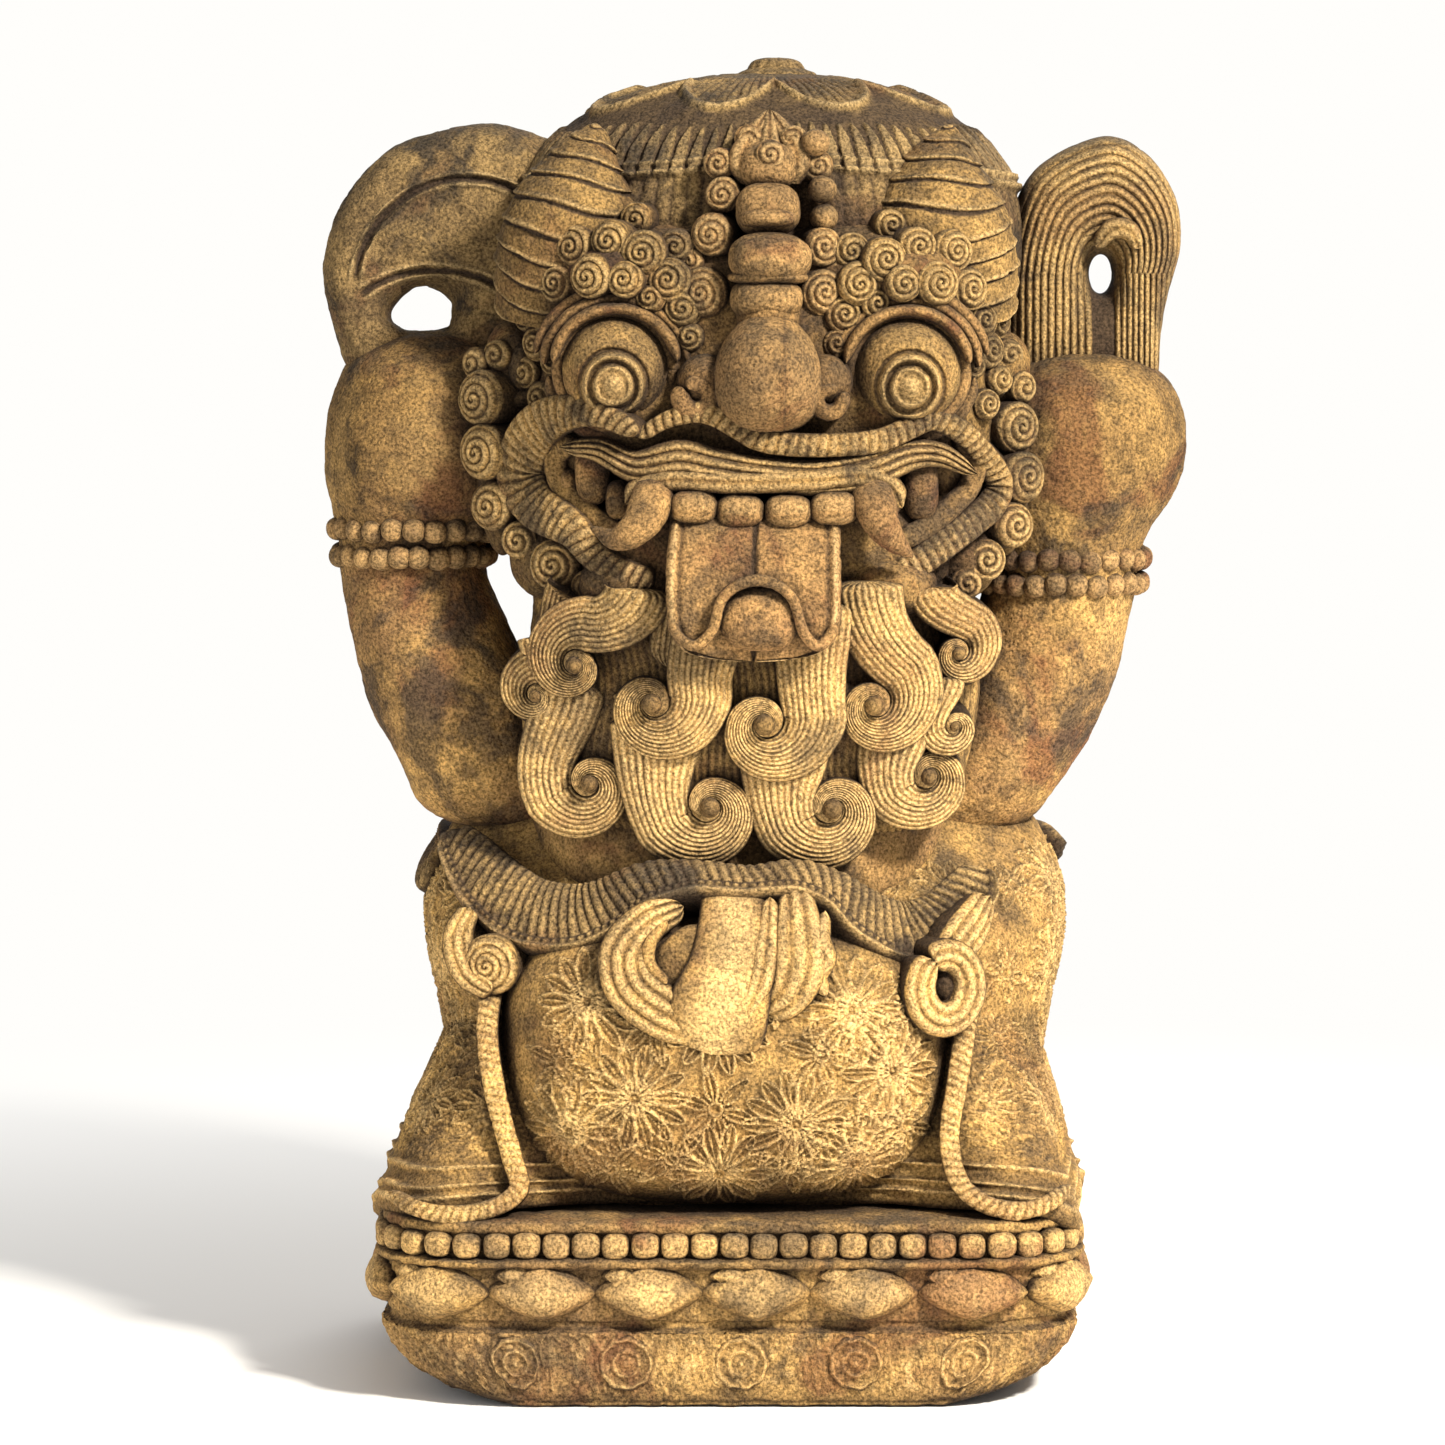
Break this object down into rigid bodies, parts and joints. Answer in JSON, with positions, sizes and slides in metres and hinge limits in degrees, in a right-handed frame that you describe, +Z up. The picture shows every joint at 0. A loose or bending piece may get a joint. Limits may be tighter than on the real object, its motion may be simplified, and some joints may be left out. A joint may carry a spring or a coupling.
{
  "type": "temple guardian statue",
  "caption": "Carved stone guardian figure, crouching on a lotus plinth, with bulging eyes, horns, long tongue, curled beard, raised shoulders and a knotted sarong; stands free",
  "frame": {"origin": "centre of the bounding box's underside, on the floor", "axes": "+Z up, the figure faces -Y, +X is the viewer's right when looking at the face"},
  "size_m": [0.4975, 0.3418, 0.75],
  "materials": {
    "stone_body": "weathered carved volcanic stone",
    "stone_cloth": "weathered carved volcanic stone",
    "stone_base": "weathered carved volcanic stone",
    "stone_crown": "weathered carved volcanic stone",
    "stone_hair": "weathered carved volcanic stone",
    "stone_detail": "weathered carved volcanic stone"
  },
  "bodies": {
    "statue": {"plinth": "stone_base", "plinth_bead_course": "stone_base", "plinth_petals": "stone_base", "plinth_medallions": "stone_base", "drape_left": "stone_cloth", "drape_right": "stone_cloth", "hips": "stone_cloth", "lap_apron": "stone_cloth", "hem_band_left": "stone_cloth", "hem_band_right": "stone_cloth", "waist_sash": "stone_cloth", "sash_scroll_left": "stone_cloth", "sash_scroll_right": "stone_cloth", "knot_loop": "stone_cloth", "knot_tail": "stone_cloth", "knot_scroll": "stone_cloth", "torso": "stone_body", "shoulder_left": "stone_body", "shoulder_right": "stone_body", "arm_left": "stone_body", "arm_right": "stone_body", "armlet_left": "stone_detail", "armlet_right": "stone_detail", "shoulder_crescent": "stone_crown", "hair_plume": "stone_hair", "head": "stone_body", "back_hair": "stone_hair", "crown": "stone_crown", "crown_band": "stone_crown", "crown_knob": "stone_crown", "horn_left": "stone_crown", "horn_right": "stone_crown", "brow_curls_left": "stone_hair", "brow_curls_right": "stone_hair", "forehead_ornament": "stone_crown", "eye_left": "stone_detail", "eye_right": "stone_detail", "eyelid_left": "stone_detail", "eyelid_right": "stone_detail", "nose": "stone_body", "nostril_curls": "stone_body", "ear_left": "stone_body", "ear_right": "stone_body", "ear_curls_left": "stone_hair", "ear_curls_right": "stone_hair", "moustache": "stone_body", "upper_lip": "stone_body", "jaw": "stone_body", "teeth": "stone_detail", "fangs": "stone_detail", "molars": "stone_detail", "tongue": "stone_detail", "beard_back_locks": "stone_hair", "beard_upper_row": "stone_hair", "beard_lower_row": "stone_hair"}
  },
  "joints": []
}
